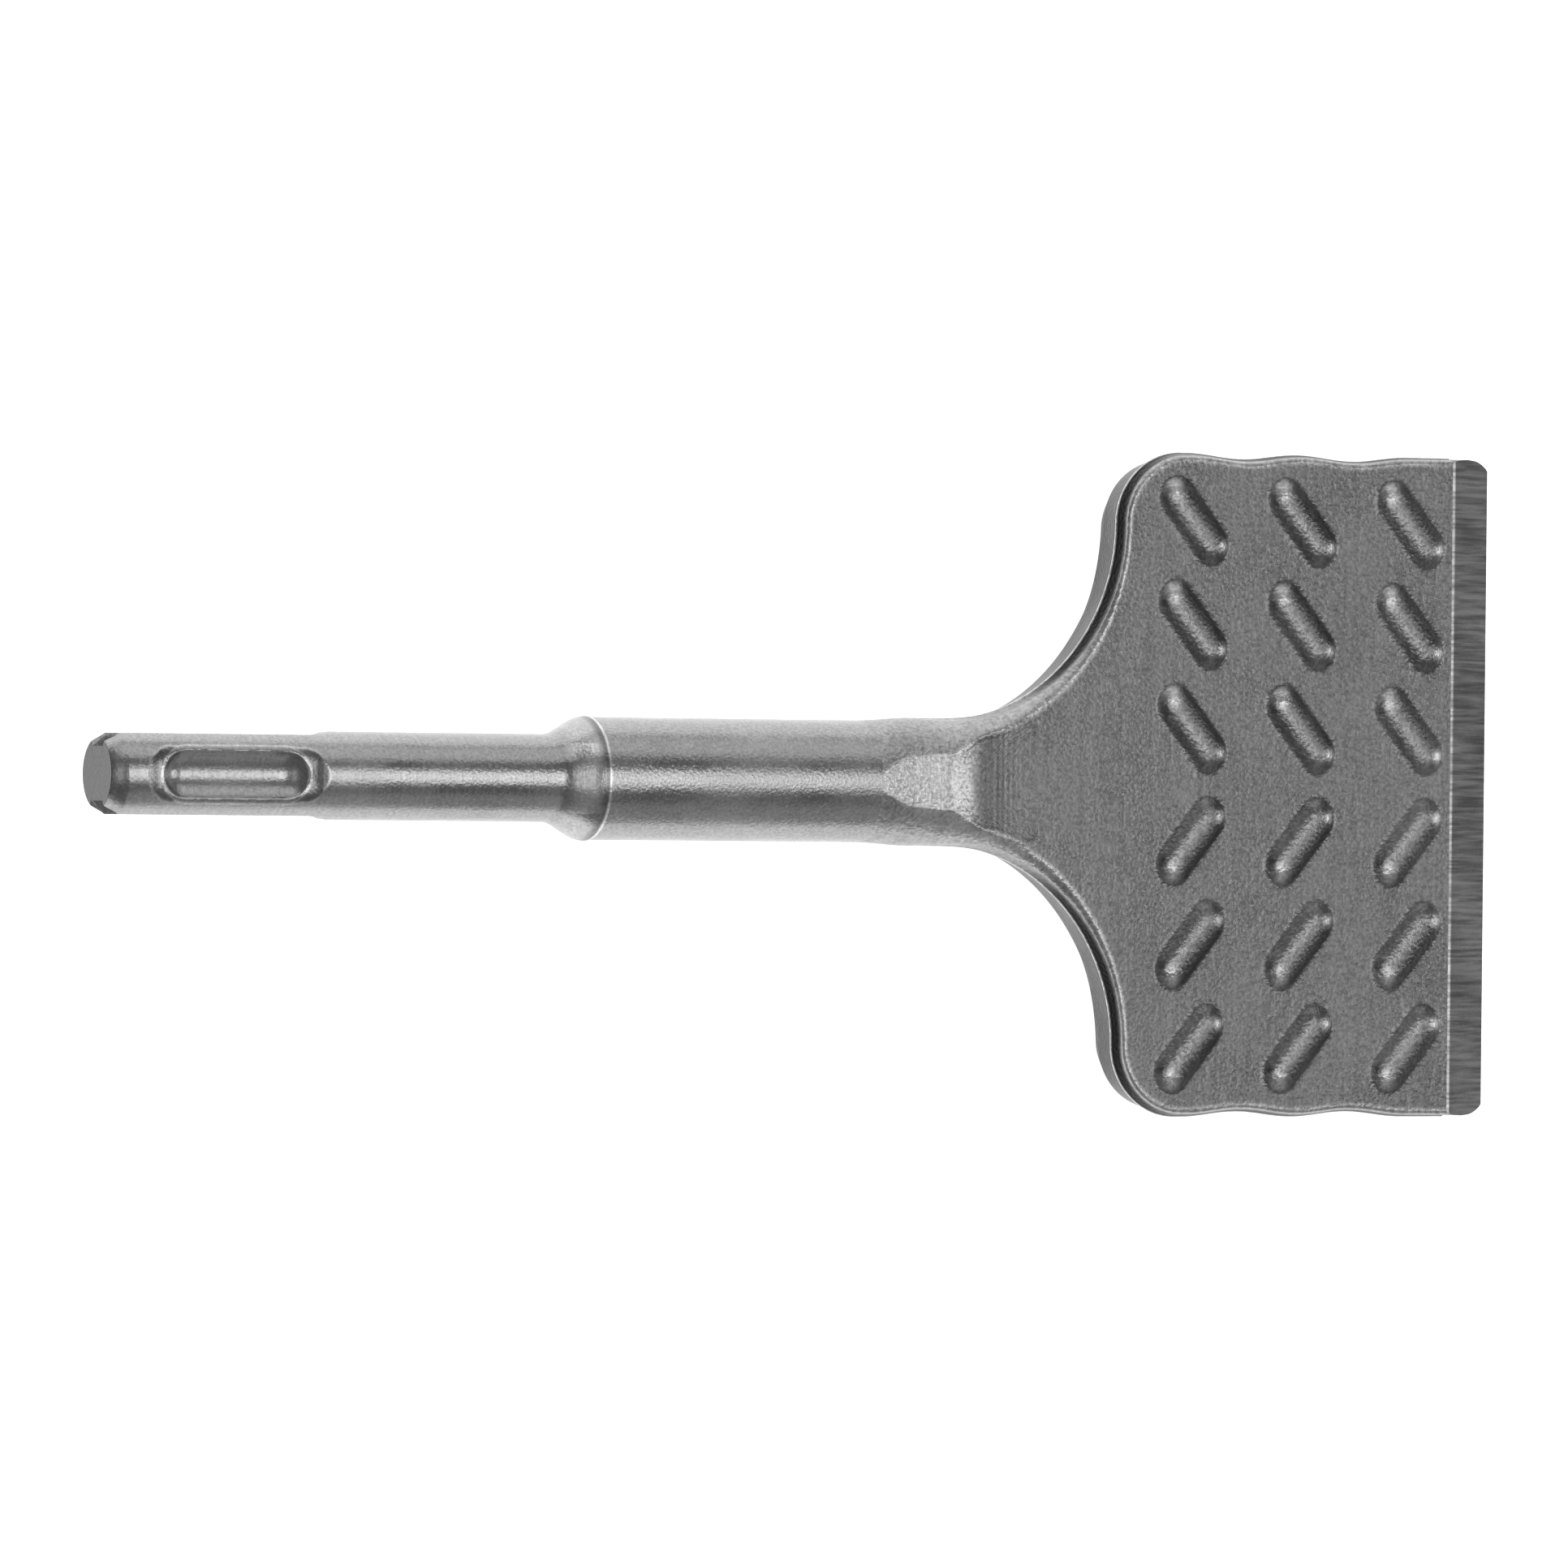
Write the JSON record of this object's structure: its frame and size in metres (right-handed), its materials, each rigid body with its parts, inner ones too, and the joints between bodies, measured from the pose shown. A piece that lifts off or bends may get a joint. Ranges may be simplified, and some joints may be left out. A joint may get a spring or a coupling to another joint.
{
  "type": "wide scaling chisel bit",
  "caption": "One-piece forged chisel bit for a rotary hammer: grooved round shank, collar and body that flare into a wide beaded blade with a ground edge.",
  "frame": {"origin": "centre of the flat striking face", "axes": "+X along the shank's axis to the cutting edge, +Y across the blade, +Z square to the blade on the beaded side"},
  "size_m": [0.1778, 0.0768, 0.0142],
  "materials": {
    "turned_shank": "satin turned steel",
    "rolled_bar": "fine blasted steel",
    "forged_blade": "blasted forging, faint marks across the blade",
    "ground_edge": "ground square to the edge"
  },
  "bodies": {
    "root": {"grooved_shank_end": "turned_shank", "shank_neck": "turned_shank", "collar": "turned_shank", "round_body": "rolled_bar", "forged_root": "forged_blade", "blade_plate": "forged_blade", "cutting_edge": "ground_edge"}
  },
  "joints": []
}
